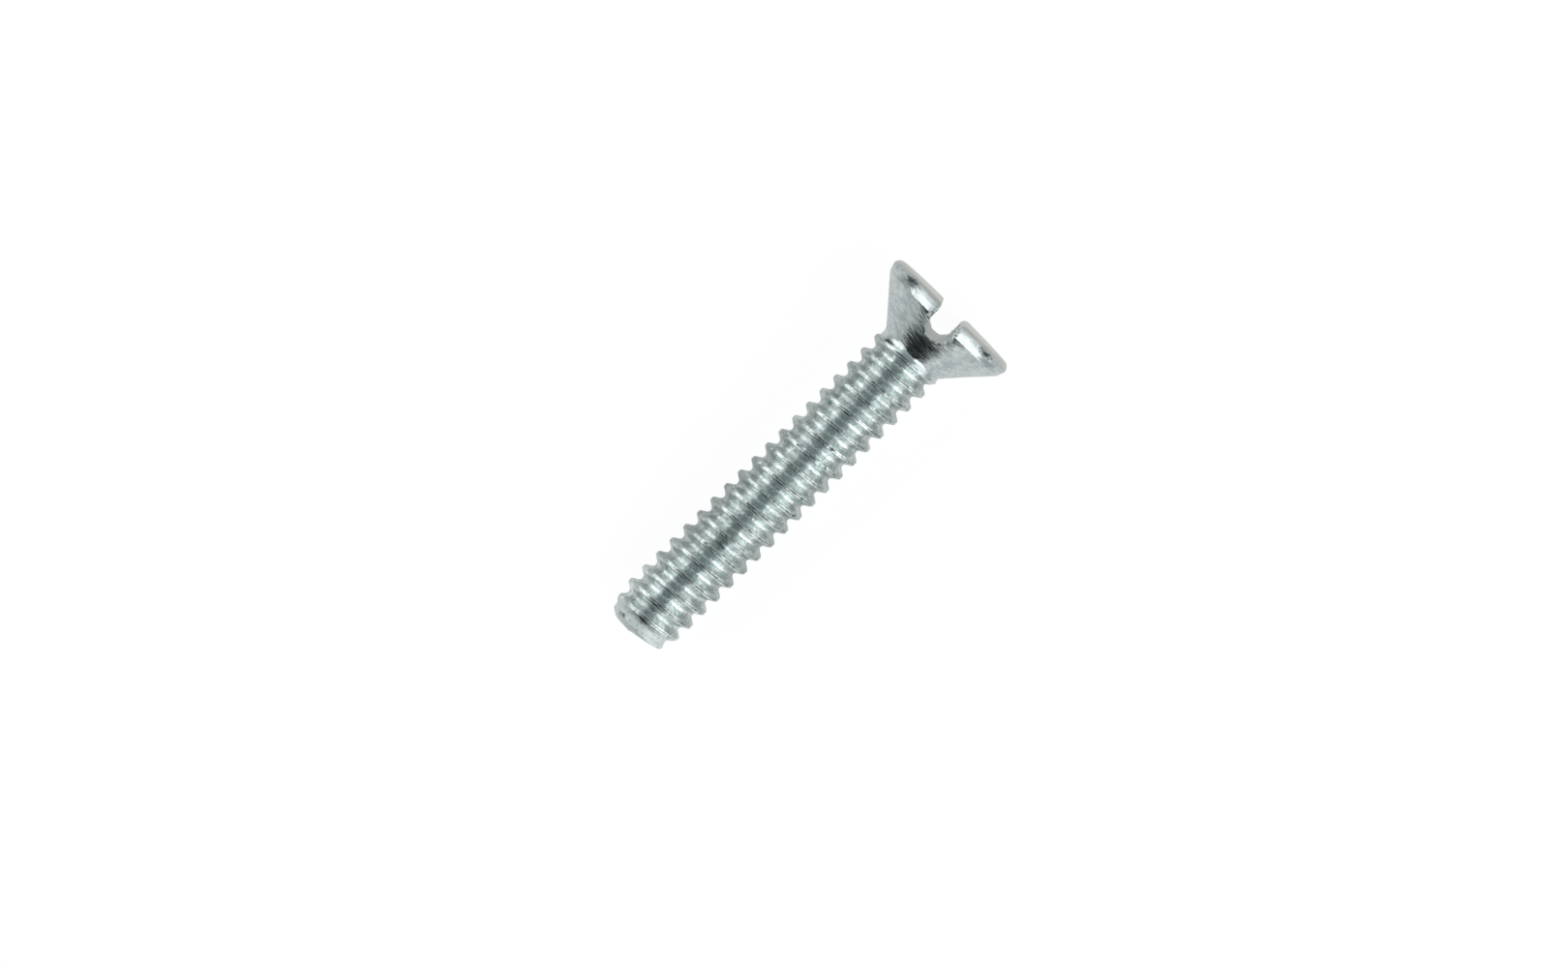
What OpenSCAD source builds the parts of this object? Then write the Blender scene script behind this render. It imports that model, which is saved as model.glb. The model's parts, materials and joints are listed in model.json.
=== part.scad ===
// Slotted flat countersunk machine screw with a rolled thread, lying as it comes to rest:
// the head's rim and one crest near the cut end touch the surface, with the slot upright.

/* [Length] */
// Overall length, from the cut end to the flat of the head
screw_length = 18.8; // [10:0.05:40]

/* [Head] */
// Diameter of the head at the widest of its rim
head_d = 6.48; // [5.9:0.02:8]
// Angle of the countersunk cone, from side to side
head_angle = 82; // [78:1:100]
// Height of the rim, from the ridge of the cone to the flat
rim_h = 0.62; // [0.5:0.02:1]
// How far the ridge of the cone lies inside the widest of the rim
ridge_inset = 0.09; // [0.02:0.01:0.15]
// Radius of the round between the rim and the flat
rim_round = 0.36; // [0.1:0.02:0.45]
// Radius of the fillet between the neck and the cone
neck_fillet = 0.64; // [0.2:0.02:0.8]

/* [Driver slot] */
// Width of the slot between its walls
slot_w = 1.16; // [0.8:0.02:1.6]
// Depth of the slot at the middle of its round floor
slot_depth = 1.38; // [0.9:0.01:1.6]
// Radius of the rounded lips of the slot
slot_lip = 0.18; // [0.05:0.01:0.3]

/* [Thread] */
// Diameter over the crests
major_d = 3.2; // [3.1:0.01:3.6]
// Diameter at the roots
minor_d = 2.54; // [2.3:0.01:2.7]
// Distance from one crest to the next, 32 to the inch
pitch = 0.79375; // [0.6:0.00625:1]
// Angle between the two flanks of a groove
flank_angle = 60; // [50:1:70]
// How far the rounding of crests and roots reaches along the flanks, in height
round_h = 0.045; // [0.02:0.005:0.08]
// Diameter of the plain neck under the head, as the blank was before rolling
neck_d = 2.94; // [2.85:0.01:3.1]
// Length over which the thread runs out at the neck
runout_len = 0.35; // [0.2:0.01:0.8]
// Where the first crest crosses the underside, from the cut end, in turns
first_crest = 0.6; // [0:0.05:1]

/* [Cut end] */
// Diameter of the flat of the cut end
tip_flat_d = 1.9; // [1:0.05:2.2]
// Diameter at the corner of the cut end
tip_edge_d = 2.66; // [2.4:0.01:2.8]
// Height of that corner over the flat
tip_edge_h = 0.28; // [0.1:0.01:0.4]
// Distance from the cut end to the first crest of full height
tip_taper_len = 1.26; // [0.6:0.02:2]
// Slope of the part of the flat that was sheared askew, rising to the right
shear_angle = 11; // [2:0.5:14]
// Where the sheared part starts, to the left of the axis
shear_start = 0.22; // [0.1:0.01:0.5]

/* [Hidden] */

head_r = head_d / 2;
ridge_r = head_r - ridge_inset;
neck_r = neck_d / 2;
crest_r = major_d / 2;
root_r = minor_d / 2;
tip_edge_r = tip_edge_d / 2;

// Points to a quarter turn of an arc in a profile
arc_steps = 8;
// Facets of the thread to a turn
turn_steps = 32;
// How far cuts pass through what they cut
through = 1;
// How far the blank of the shank stands clear of full crests
blank_clear = 0.1;
// How deep the start of the neck fillet lies inside the neck, so that the two meet at a clear angle
fillet_bury = 0.05;

// Heights along the screw, from the cut end
cone_angle = head_angle / 2;
ridge_z = screw_length - rim_h;
fillet_start_r = neck_r - fillet_bury;
neck_corner_z = ridge_z - (ridge_r - fillet_start_r) / tan(cone_angle);
neck_z = neck_corner_z - neck_fillet * tan(cone_angle / 2);
widest_z = screw_length - rim_round;

// One pitch of the thread's section, in turns from a crest: crest, flank, root and the next flank
flank_w = (crest_r - root_r - 2 * round_h) * tan(flank_angle / 2);
round_w = (pitch / 2 - flank_w) / 2;
section_z = [0, round_w, round_w + flank_w, pitch / 2, pitch / 2 + round_w, pitch - round_w] / pitch;
section_r = [crest_r, crest_r - round_h, root_r + round_h, root_r, root_r + round_h, crest_r - round_h];

// The screw rests on the slot's corners of the rim and on the first full crest of its underside
full_turn = ceil(tip_taper_len / pitch - first_crest);
rest_crest_z = pitch * (first_crest + full_turn);
rest_rim_r = sqrt(head_r * head_r - slot_w * slot_w / 4);
lie_angle = atan((rest_rim_r - crest_r) / (widest_z - rest_crest_z));
rest_h = crest_r * cos(lie_angle) - rest_crest_z * sin(lie_angle);
head_x = widest_z * cos(lie_angle) + (rest_rim_r - rim_round) * sin(lie_angle) + rim_round;
tip_x = -sqrt(tip_flat_d * tip_flat_d / 4 - shear_start * shear_start) * sin(lie_angle);

// Points of an arc about centre c, from angle a to angle b
function arc(c, r, a, b) =
    let (steps = max(2, round(abs(b - a) / 90 * arc_steps)))
    [for (i = [0:steps]) c + r * [cos(a + (b - a) * i / steps), sin(a + (b - a) * i / steps)]];

// Share of its depth that the thread still has at height z
function thread_share(z) = min(1, max(0, (neck_z - z) / runout_len));

// Radius of the thread's surface at height z, where the section has the radius r
function thread_r(r, z) = neck_r + (r - neck_r) * thread_share(z);

// The rod with its thread, from below the cut end into the head: point j of row i lies i facets round
module threaded_rod() {
    points_per_turn = len(section_z);
    turns = ceil((neck_corner_z - first_crest * pitch) / pitch) + 2;
    columns = turns * points_per_turn;
    function height(i, j) =
        pitch * (first_crest - 2 + floor(j / points_per_turn) + section_z[j % points_per_turn] + i / turn_steps);
    function rod_point(i, j) =
        let (z = height(i, j), r = thread_r(section_r[j % points_per_turn], z), a = 360 * i / turn_steps)
        [r * cos(a), r * sin(a), z];
    function index(i, j) =
        i < turn_steps ? i * columns + j : j + points_per_turn;

    last_row = turn_steps - 1;
    last_column = columns - 1;
    seam_column = last_column - points_per_turn;
    low_centre = turn_steps * columns;
    high_centre = low_centre + 1;
    points = concat(
        [for (i = [0:last_row]) for (j = [0:last_column]) rod_point(i, j)],
        [[0, 0, height(0, 0)], [0, 0, height(last_row, last_column)]]
    );
    sides = [
        for (i = [0:last_row]) for (j = [0:(i < last_row ? last_column : seam_column) - 1])
            [index(i, j), index(i, j + 1), index(i + 1, j + 1), index(i + 1, j)]
    ];
    low_edge = concat(
        [for (i = [0:turn_steps]) index(i, 0)],
        [for (j = [points_per_turn - 1:-1:0]) index(0, j)]
    );
    high_edge = concat(
        [for (i = [0:last_row]) index(i, last_column)],
        [for (j = [last_column - 1:-1:seam_column]) index(last_row, j)],
        [index(0, last_column)]
    );
    low_cap = [for (k = [0:len(low_edge) - 2]) [low_edge[k], low_edge[k + 1], low_centre]];
    high_cap = [for (k = [0:len(high_edge) - 2]) [high_edge[k + 1], high_edge[k], high_centre]];
    polyhedron(points, concat(
        [for (q = sides) [q[0], q[1], q[2]]],
        [for (q = sides) [q[0], q[2], q[3]]],
        low_cap,
        high_cap
    ));
}

// The blank that the thread is rolled on, with the cut end's chamfer and the taper of its first crests
module blank() {
    blank_r = crest_r + blank_clear;
    taper = (tip_taper_len - tip_edge_h) / (crest_r - tip_edge_r);
    rotate_extrude($fn = 96)
        polygon([
            [0, 0],
            [tip_flat_d / 2, 0],
            [tip_edge_r, tip_edge_h],
            [blank_r, tip_edge_h + (blank_r - tip_edge_r) * taper],
            [blank_r, screw_length],
            [0, screw_length]
        ]);
}

// What the shear took off beyond its slanted plane
module sheared_off() {
    width = major_d + 2 * through;
    translate([-width / 2, shear_start, 0])
        rotate([-shear_angle, 0, 0])
            translate([0, -width, -through])
                cube([width, width, through]);
}

module shank() {
    difference() {
        intersection() {
            threaded_rod();
            blank();
        }
        sheared_off();
    }
}

// The head with its neck fillet, cone, ridge and rounded rim
module head() {
    fillet_centre = [fillet_start_r + neck_fillet, neck_z];
    round_centre = [head_r - rim_round, widest_z];
    rotate_extrude($fn = 96)
        polygon(concat(
            [[0, neck_z]],
            arc(fillet_centre, neck_fillet, 180, 180 - cone_angle),
            [[ridge_r, ridge_z]],
            arc(round_centre, rim_round, 0, 90),
            [[0, screw_length]]
        ));
}

// The slot as its cutter leaves it: a round floor, straight walls and rounded lips
module driver_slot() {
    half_w = slot_w / 2;
    lip_x = half_w + slot_lip;
    floor_centre = [0, half_w - slot_depth];
    translate([0, 0, screw_length])
        rotate([90, 0, 90])
            linear_extrude(height = head_d + 2 * through, center = true)
                polygon(concat(
                    arc(floor_centre, half_w, 180, 360),
                    arc([lip_x, -slot_lip], slot_lip, 180, 90),
                    [[lip_x, through], [-lip_x, through]],
                    arc([-lip_x, -slot_lip], slot_lip, 90, 0)
                ));
}

module screw() {
    color("silver")
        translate([-(head_x + tip_x) / 2, 0, rest_h])
            rotate([0, 90 - lie_angle, 0])
                difference() {
                    union() {
                        shank();
                        head();
                    }
                    driver_slot();
                }
}

screw();
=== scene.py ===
import bpy
import bmesh
import json
import math
from mathutils import Matrix, Vector, noise


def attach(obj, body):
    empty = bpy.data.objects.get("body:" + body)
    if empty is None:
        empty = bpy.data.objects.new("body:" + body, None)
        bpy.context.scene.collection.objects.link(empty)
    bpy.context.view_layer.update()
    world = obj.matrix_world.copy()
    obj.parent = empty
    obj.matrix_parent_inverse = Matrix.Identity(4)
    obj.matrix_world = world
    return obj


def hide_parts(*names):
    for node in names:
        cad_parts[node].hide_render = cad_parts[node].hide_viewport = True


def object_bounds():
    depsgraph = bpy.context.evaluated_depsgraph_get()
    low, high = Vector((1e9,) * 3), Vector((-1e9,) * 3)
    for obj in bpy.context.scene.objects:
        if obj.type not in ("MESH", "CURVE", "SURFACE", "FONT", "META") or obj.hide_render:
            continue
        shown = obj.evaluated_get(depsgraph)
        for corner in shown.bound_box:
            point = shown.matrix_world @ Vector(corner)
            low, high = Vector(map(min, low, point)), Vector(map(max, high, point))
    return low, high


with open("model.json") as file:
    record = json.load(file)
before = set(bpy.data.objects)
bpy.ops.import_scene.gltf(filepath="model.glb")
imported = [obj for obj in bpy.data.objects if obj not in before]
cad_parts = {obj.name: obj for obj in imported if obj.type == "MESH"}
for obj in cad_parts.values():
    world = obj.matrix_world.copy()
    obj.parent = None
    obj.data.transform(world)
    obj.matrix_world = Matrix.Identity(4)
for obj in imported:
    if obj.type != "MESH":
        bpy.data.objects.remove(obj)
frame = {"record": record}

cadBox = [list(corner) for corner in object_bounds()]   # the box of the CAD model, before it is dressed
scene = bpy.context.scene
mm = 0.001   # shapes are worked out in millimetres and placed in metres

# What a user would change on the screw's body, in millimetres and degrees
screwShape = {
    "length": 18.8,
    "headDiameter": 6.48,
    "headAngle": 82.0,
    "rimHeight": 0.62,
    "ridgeInset": 0.09,
    "ridgeRound": 0.05,
    "rimRound": 0.31,
    "neckFillet": 0.64,
    "neckDiameter": 2.94,
    "filletBury": 0.05,
    "tipsForward": 0.10,
    "tipsLeft": 0.04,
    "drawnInLeft": 0.07,
    "askewReach": 1.2,
    "headWear": 0.008,
    "endWear": 0.035,
    "joinOnFillet": 0.66,
    "sharpAngle": 38.0,
    "stepsAround": 144,
}

# where the screw lies: local x points at the floor, y to its left seen from above, z at the head
mounts = {mount["name"]: mount for mount in frame["record"]["mounts"]}
headAxis = Vector(mounts["head_top"]["axis"]).normalized()
onThread = Vector(mounts["thread"]["pos_m"])
topFace = onThread + headAxis * (Vector(mounts["head_top"]["pos_m"]) - onThread).dot(headAxis)
cutEnd = topFace - headAxis * screwShape["length"] * mm
leftwards = Vector((0, 1, 0))
downwards = leftwards.cross(headAxis)
screwFrame = Matrix((downwards, leftwards, headAxis)).transposed()
placeScrew = Matrix.Translation(cutEnd) @ screwFrame.to_4x4() @ Matrix.Scale(mm, 4)

headRadius = screwShape["headDiameter"] / 2
neckRadius = screwShape["neckDiameter"] / 2
coneAngle = math.radians(screwShape["headAngle"] / 2)
ridgeRadius = headRadius - screwShape["ridgeInset"]
ridgeHeight = screwShape["length"] - screwShape["rimHeight"]
filletStart = neckRadius - screwShape["filletBury"]
coneFoot = ridgeHeight - (ridgeRadius - filletStart) / math.tan(coneAngle)
neckHeight = coneFoot - screwShape["neckFillet"] * math.tan(coneAngle / 2)
onFillet = screwShape["joinOnFillet"] * screwShape["neckFillet"]
joinHeight = neckHeight + onFillet * math.sin(coneAngle)   # thread and head meet here
print("screw placed, neck at", round(neckHeight, 3), "mm from the cut end")


# helpers for node trees
def addNode(tree, kind, **settings):
    node = tree.nodes.new(kind)
    for name, value in settings.items():
        setattr(node, name, value)
    return node


def feed(tree, value, socket):
    if isinstance(value, bpy.types.NodeSocket):
        tree.links.new(value, socket)
    else:
        socket.default_value = value


def maths(tree, operation, *values):
    node = addNode(tree, "ShaderNodeMath", operation=operation)
    for place, value in enumerate(values):
        feed(tree, value, node.inputs[place])
    return node.outputs[0]


def plus(tree, first, second):
    return maths(tree, "ADD", first, second)


def minus(tree, first, second):
    return maths(tree, "SUBTRACT", first, second)


def times(tree, first, second):
    return maths(tree, "MULTIPLY", first, second)


def divided(tree, first, second):
    return maths(tree, "DIVIDE", first, second)


def larger(tree, first, second):
    return maths(tree, "MAXIMUM", first, second)


def smaller(tree, first, second):
    return maths(tree, "MINIMUM", first, second)


# from one value to another as the first goes from low to high
def ramp(tree, value, low, high, toLow=0.0, toHigh=1.0, smooth=True):
    node = addNode(tree, "ShaderNodeMapRange", interpolation_type="SMOOTHSTEP" if smooth else "LINEAR")
    for place, item in enumerate((value, low, high, toLow, toHigh)):
        feed(tree, item, node.inputs[place])
    return node.outputs[0]


def noiseAt(tree, vector, scale, detail=2.0, roughness=0.5):
    node = addNode(tree, "ShaderNodeTexNoise")
    feed(tree, vector, node.inputs["Vector"])
    feed(tree, scale, node.inputs["Scale"])
    feed(tree, detail, node.inputs["Detail"])
    feed(tree, roughness, node.inputs["Roughness"])
    return node.outputs[0]


def stretched(tree, vector, scales):
    node = addNode(tree, "ShaderNodeVectorMath", operation="MULTIPLY")
    feed(tree, vector, node.inputs[0])
    feed(tree, scales, node.inputs[1])
    return node.outputs[0]


# The thread, each size under the name of its input in the node tree. The columns of the grid start a few
# pitches below the cut end, and the blends round the corners where two surfaces meet.
threadShape = {
    "Pitch": 0.79375,
    "Crest radius": 1.6,
    "Root radius": 1.27,
    "Root width": 0.215,
    "Flank slope": math.tan(math.radians(60)),
    "Crest rounding": 0.15,
    "Root rounding": 0.2,
    "Seam depth": 0.038,
    "Seam width": 0.026,
    "Seam patches": 1.1,
    "First crest": 0.6,
    "Crest run-out": 0.52,
    "Groove run-out": 0.22,
    "Neck blend": 0.03,
    "End flat radius": 0.95,
    "End corner radius": 1.29,
    "End corner height": 0.21,
    "End taper": 1.0,
    "End rise": 1.18,
    "Corner blend": 0.06,
    "End blend": 0.05,
    "Shear start": 0.22,
    "Shear slope": 0.194,
    "Wear": 0.008,
    "Wear patches": 2.6,
    "Nick depth": 0.035,
    "Nick patches": 1.9,
    "Nick reach": 0.17,
    "Crowding": 0.6,
    "Pitches below": 2.0,
    "Merge distance": 0.0008,
    "Points per pitch": 16,
    "Pitches": 24,
}


# the thread: a grid whose columns follow the helix, closed on itself one turn on
def threadTree():
    tree = bpy.data.node_groups.new("ThreadSurface", "GeometryNodeTree")
    tree.interface.new_socket("Geometry", in_out="INPUT", socket_type="NodeSocketGeometry")
    for name in threadShape:
        kind = "NodeSocketInt" if name in ("Points per pitch", "Pitches") else "NodeSocketFloat"
        tree.interface.new_socket(name, in_out="INPUT", socket_type=kind)
    for name in ("Neck radius", "Neck height", "Join height", "Fillet start", "Fillet radius"):
        tree.interface.new_socket(name, in_out="INPUT", socket_type="NodeSocketFloat")
    tree.interface.new_socket("Steps around", in_out="INPUT", socket_type="NodeSocketInt")
    tree.interface.new_socket("Plating", in_out="INPUT", socket_type="NodeSocketMaterial")
    tree.interface.new_socket("Geometry", in_out="OUTPUT", socket_type="NodeSocketGeometry")
    given = addNode(tree, "NodeGroupInput").outputs

    columns = times(tree, given["Points per pitch"], given["Pitches"])
    grid = addNode(tree, "GeometryNodeMeshGrid")
    feed(tree, columns, grid.inputs["Vertices X"])
    feed(tree, plus(tree, given["Steps around"], 1.0), grid.inputs["Vertices Y"])
    grid.inputs["Size X"].default_value = 1.0
    grid.inputs["Size Y"].default_value = 1.0
    place = addNode(tree, "ShaderNodeSeparateXYZ")
    tree.links.new(addNode(tree, "GeometryNodeInputPosition").outputs[0], place.inputs[0])
    column = plus(tree, place.outputs[0], 0.5)
    column = times(tree, column, minus(tree, columns, 1.0))
    column = maths(tree, "ROUND", column)
    turn = plus(tree, place.outputs[1], 0.5)

    # columns crowd together at the crests, where the shape is finest
    pitches = divided(tree, column, given["Points per pitch"])
    swing = maths(tree, "SINE", times(tree, pitches, 2 * math.pi))
    swing = times(tree, swing, divided(tree, given["Crowding"], 2 * math.pi))
    pitches = minus(tree, pitches, swing)
    shift = plus(tree, turn, minus(tree, given["First crest"], given["Pitches below"]))
    height = times(tree, plus(tree, pitches, shift), given["Pitch"])
    angle = times(tree, turn, 2 * math.pi)
    across = times(tree, maths(tree, "SINE", angle), given["End corner radius"])
    slant = minus(tree, given["Shear start"], across)
    slant = times(tree, slant, given["Shear slope"])
    height = larger(tree, height, larger(tree, slant, 0.0))
    height = smaller(tree, height, given["Join height"])

    # distance along the axis from the nearest crest
    crests = divided(tree, height, given["Pitch"])
    crests = minus(tree, crests, plus(tree, turn, given["First crest"]))
    signed = minus(tree, maths(tree, "FRACT", plus(tree, crests, 0.5)), 0.5)
    signed = times(tree, signed, given["Pitch"])
    away = maths(tree, "ABSOLUTE", signed)

    # flanks between a rounded crest and a rounded root
    slope = given["Flank slope"]
    depth = minus(tree, given["Crest radius"], given["Root radius"])
    crestHalf = times(tree, minus(tree, given["Pitch"], given["Root width"]), 0.5)
    crestHalf = minus(tree, crestHalf, divided(tree, depth, slope))
    flank = times(tree, minus(tree, crestHalf, away), slope)
    flank = plus(tree, given["Crest radius"], flank)
    radius = maths(tree, "SMOOTH_MIN", flank, given["Crest radius"], given["Crest rounding"])
    radius = maths(tree, "SMOOTH_MAX", radius, given["Root radius"], given["Root rounding"])

    # the seam where rolling folded the two sides of a crest together, deeper in some places
    onAxis = addNode(tree, "ShaderNodeCombineXYZ")
    feed(tree, maths(tree, "COSINE", angle), onAxis.inputs[0])
    feed(tree, maths(tree, "SINE", angle), onAxis.inputs[1])
    feed(tree, height, onAxis.inputs[2])
    spot = onAxis.outputs[0]
    seam = divided(tree, away, given["Seam width"])
    seam = maths(tree, "EXPONENT", times(tree, times(tree, seam, seam), -1.0))
    patchy = ramp(tree, noiseAt(tree, spot, given["Seam patches"], 3.0), 0.28, 0.5)
    fainterLeft = ramp(tree, maths(tree, "SINE", angle), 0.15, 0.6, 1.0, 0.3)
    patchy = times(tree, patchy, fainterLeft)
    seam = times(tree, seam, times(tree, patchy, given["Seam depth"]))
    radius = minus(tree, radius, seam)

    # towards the cut end the thread is raised less and less
    raisedShare = ramp(tree, height, 0.0, given["End rise"], smooth=False)
    radius = minus(tree, radius, given["Root radius"])
    radius = plus(tree, given["Root radius"], times(tree, radius, raisedShare))

    # wear over the whole surface, and nicks on the crests
    worn = noiseAt(tree, spot, given["Wear patches"], 4.0, 0.6)
    wear = ramp(tree, worn, 0.3, 0.75, 0.0, given["Wear"], smooth=False)
    radius = minus(tree, radius, wear)
    nicks = ramp(tree, noiseAt(tree, spot, given["Nick patches"], 2.0), 0.66, 0.74)
    onCrest = ramp(tree, away, 0.05, given["Nick reach"], 1.0, 0.0)
    nicks = times(tree, times(tree, nicks, onCrest), given["Nick depth"])
    radius = minus(tree, radius, nicks)

    # at the neck the groove runs out first and the crest after it, and the fillet starts, whose line falls
    # away steeply below the neck
    over = minus(tree, radius, given["Neck radius"])
    fromNeck = minus(tree, height, given["Neck height"])
    lastCrest = ramp(tree, fromNeck, 0.0, given["Crest run-out"], 1.0, 0.0)
    lastGroove = ramp(tree, fromNeck, times(tree, given["Groove run-out"], -1.0), 0.0, 1.0, 0.0)
    raised = times(tree, larger(tree, over, 0.0), lastCrest)
    sunk = times(tree, smaller(tree, over, 0.0), lastGroove)
    radius = plus(tree, given["Neck radius"], plus(tree, raised, sunk))
    rise = larger(tree, fromNeck, 0.0)
    roundSquared = times(tree, given["Fillet radius"], given["Fillet radius"])
    inset = minus(tree, roundSquared, times(tree, rise, rise))
    filletCentre = plus(tree, given["Fillet start"], given["Fillet radius"])
    fillet = minus(tree, filletCentre, maths(tree, "SQRT", inset))
    fallAway = 6.0
    belowNeck = times(tree, smaller(tree, fromNeck, 0.0), fallAway)
    fillet = plus(tree, fillet, belowNeck)
    radius = maths(tree, "SMOOTH_MAX", radius, fillet, given["Neck blend"])

    # at the cut end the blank's chamfer and then its taper cut the thread down
    chamfer = minus(tree, given["End corner radius"], given["End flat radius"])
    chamfer = times(tree, divided(tree, chamfer, given["End corner height"]), height)
    chamfer = plus(tree, given["End flat radius"], chamfer)
    overCorner = minus(tree, given["Crest radius"], given["End corner radius"])
    taperLength = minus(tree, given["End taper"], given["End corner height"])
    taper = divided(tree, overCorner, taperLength)
    taper = times(tree, taper, minus(tree, height, given["End corner height"]))
    taper = plus(tree, given["End corner radius"], taper)
    blank = maths(tree, "SMOOTH_MIN", chamfer, taper, given["Corner blend"])
    radius = maths(tree, "SMOOTH_MIN", radius, blank, given["End blend"])

    turned = addNode(tree, "ShaderNodeCombineXYZ")
    feed(tree, times(tree, maths(tree, "COSINE", angle), radius), turned.inputs[0])
    feed(tree, times(tree, maths(tree, "SINE", angle), radius), turned.inputs[1])
    feed(tree, height, turned.inputs[2])

    # how far each point lies from its crest is kept for the plating, while the points are in the grid
    kept = addNode(tree, "GeometryNodeStoreNamedAttribute", data_type="FLOAT", domain="POINT")
    tree.links.new(grid.outputs["Mesh"], kept.inputs["Geometry"])
    kept.inputs["Name"].default_value = "fromCrest"
    feed(tree, away, next(item for item in kept.inputs if item.name == "Value" and item.enabled))
    shaped = addNode(tree, "GeometryNodeSetPosition")
    tree.links.new(kept.outputs[0], shaped.inputs["Geometry"])
    tree.links.new(turned.outputs[0], shaped.inputs["Position"])

    merged = addNode(tree, "GeometryNodeMergeByDistance")
    tree.links.new(shaped.outputs[0], merged.inputs["Geometry"])
    tree.links.new(given["Merge distance"], merged.inputs["Distance"])
    outward = addNode(tree, "GeometryNodeFlipFaces")
    tree.links.new(merged.outputs[0], outward.inputs[0])
    real = addNode(tree, "GeometryNodeRealizeInstances")
    tree.links.new(outward.outputs[0], real.inputs[0])
    coated = addNode(tree, "GeometryNodeSetMaterial")
    tree.links.new(real.outputs[0], coated.inputs["Geometry"])
    tree.links.new(given["Plating"], coated.inputs["Material"])
    result = addNode(tree, "NodeGroupOutput")
    tree.links.new(coated.outputs[0], result.inputs[0])
    return tree


# what a tree makes with these sizes, as a plain mesh
def grownMesh(tree, sizes):
    base = bpy.data.objects.new("threadBase", bpy.data.meshes.new("threadBase"))
    scene.collection.objects.link(base)
    modifier = base.modifiers.new("thread", "NODES")
    modifier.node_group = tree
    for item in tree.interface.items_tree:
        if item.in_out == "INPUT" and item.name in sizes:
            modifier[item.identifier] = sizes[item.name]
    grown = bpy.data.meshes.new_from_object(base.evaluated_get(bpy.context.evaluated_depsgraph_get()))
    bpy.data.objects.remove(base)
    return grown


# Finish of the plating, with the shade and dark reflections painted on it, in linear colours and
# millimetres. A pair of roughnesses is for smooth patches and coarse ones, and any other pair says where an
# effect starts and where it is full or gone.
platingLook = {
    "headColour": (0.77, 0.82, 0.825, 1),
    "headDull": (0.60, 0.655, 0.66, 1),
    "threadColour": (0.74, 0.80, 0.79, 1),
    "threadDull": (0.46, 0.515, 0.51, 1),
    "endColour": (0.71, 0.75, 0.75, 1),
    "warmColour": (0.82, 0.815, 0.775, 1),
    # dark colour for specks, pits, crumbs and saw marks, and for the painted shade in the seam
    "dirtAndShadeColour": (0.10, 0.115, 0.115, 1),
    # colour of the painted dark patches, which on the rim are painted dark reflections
    "darkPatchColour": (0.03, 0.034, 0.034, 1),
    "threadRoughness": (0.18, 0.33),
    "endRoughness": 0.65,
    "neckRoughness": 0.18,
    "coneRoughness": (0.12, 0.20),
    "rimRoughness": 0.50,
    "tornRoughness": 0.70,
    "slotRoughness": 0.34,
    "faceRoughness": 0.45,
    "mottling": (0.42, 0.58),
    "softMottling": (0.35, 0.65),
    "roughPatches": (0.36, 0.62),
    # the seam's painted shade: its band and patches, the heights past which it shows, its fade to the left
    # and its strength
    "seamBand": (0.012, 0.040),
    "seamPatches": (0.47, 0.60),
    "seamHeights": (1.0, 1.5),
    "seamLeft": (0.3, 0.9),
    "seamShade": 0.6,
    "seamShadeLeft": 0.15,
    "neckBand": (-0.15, 0.1),
    "shearedHeights": (0.60, 0.80),
    "pits": (0.54, 0.70),
    "pitDirt": 0.5,
    "threadSpecks": 0.35,
    "headSpecks": 0.3,
    "faceSpecks": 0.7,
    "slotDirt": 0.4,
    "warmBand": (0.32, 0.18),
    "rimBand": (0.08, 0.22),
    "slotBand": (0.06, 0.24),
    "topBand": (0.5, 0.2),
    "crumbDirt": (0.38, 0.47),
    "crumbTorn": (0.49, 0.57),
    "scuffPatches": (0.47, 0.62),
    "fewScuffs": 0.3,
    "scuffs": 1.6,
    "marks": 0.011,
    "burrs": 0.10,
    "faceGrain": 0.03,
}


# effects that the platings share
def effectGroup(name, outputs):
    tree = bpy.data.node_groups.new(name, "ShaderNodeTree")
    tree.interface.new_socket("Vector", in_out="INPUT", socket_type="NodeSocketVector")
    for output in outputs:
        tree.interface.new_socket(output, in_out="OUTPUT", socket_type="NodeSocketFloat")
    return tree, addNode(tree, "NodeGroupInput").outputs["Vector"], addNode(tree, "NodeGroupOutput")


# mottling of the plated crystals, in patches and as fine grain
def grainGroup():
    tree, vector, result = effectGroup("PlatingGrain", ("Patches", "Grain", "Specks"))
    feed(tree, noiseAt(tree, vector, 2.6, 4.0, 0.62), result.inputs["Patches"])
    feed(tree, noiseAt(tree, vector, 8.0, 4.0, 0.65), result.inputs["Grain"])
    feed(tree, ramp(tree, noiseAt(tree, vector, 5.5, 2.0), 0.66, 0.76), result.inputs["Specks"])
    return tree


# fine marks round the axis, broken into short lengths
def marksGroup():
    tree, vector, result = effectGroup("RoundMarks", ("Marks", "Streaks"))
    fine = noiseAt(tree, stretched(tree, vector, (3.2, 3.2, 12.0)), 1.0, 2.5, 0.6)
    broad = noiseAt(tree, stretched(tree, vector, (1.0, 1.0, 4.5)), 1.0, 2.0, 0.5)
    feed(tree, fine, result.inputs["Marks"])
    feed(tree, broad, result.inputs["Streaks"])
    return tree


grain = grainGroup()
marks = marksGroup()


def useGroup(tree, group, vector):
    node = addNode(tree, "ShaderNodeGroup", node_tree=group)
    tree.links.new(vector, node.inputs["Vector"])
    return node.outputs


def mixColour(tree, share, first, second):
    node = addNode(tree, "ShaderNodeMix", data_type="RGBA")
    feed(tree, share, node.inputs[0])
    feed(tree, first, node.inputs[6])       # its colour sockets are 6 and 7
    feed(tree, second, node.inputs[7])
    return node.outputs[2]


# the mean of two effects, as a share of the duller colour
def dullness(tree, first, second):
    mean = times(tree, plus(tree, first, second), 0.5)
    return ramp(tree, mean, *platingLook["mottling"])


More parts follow.
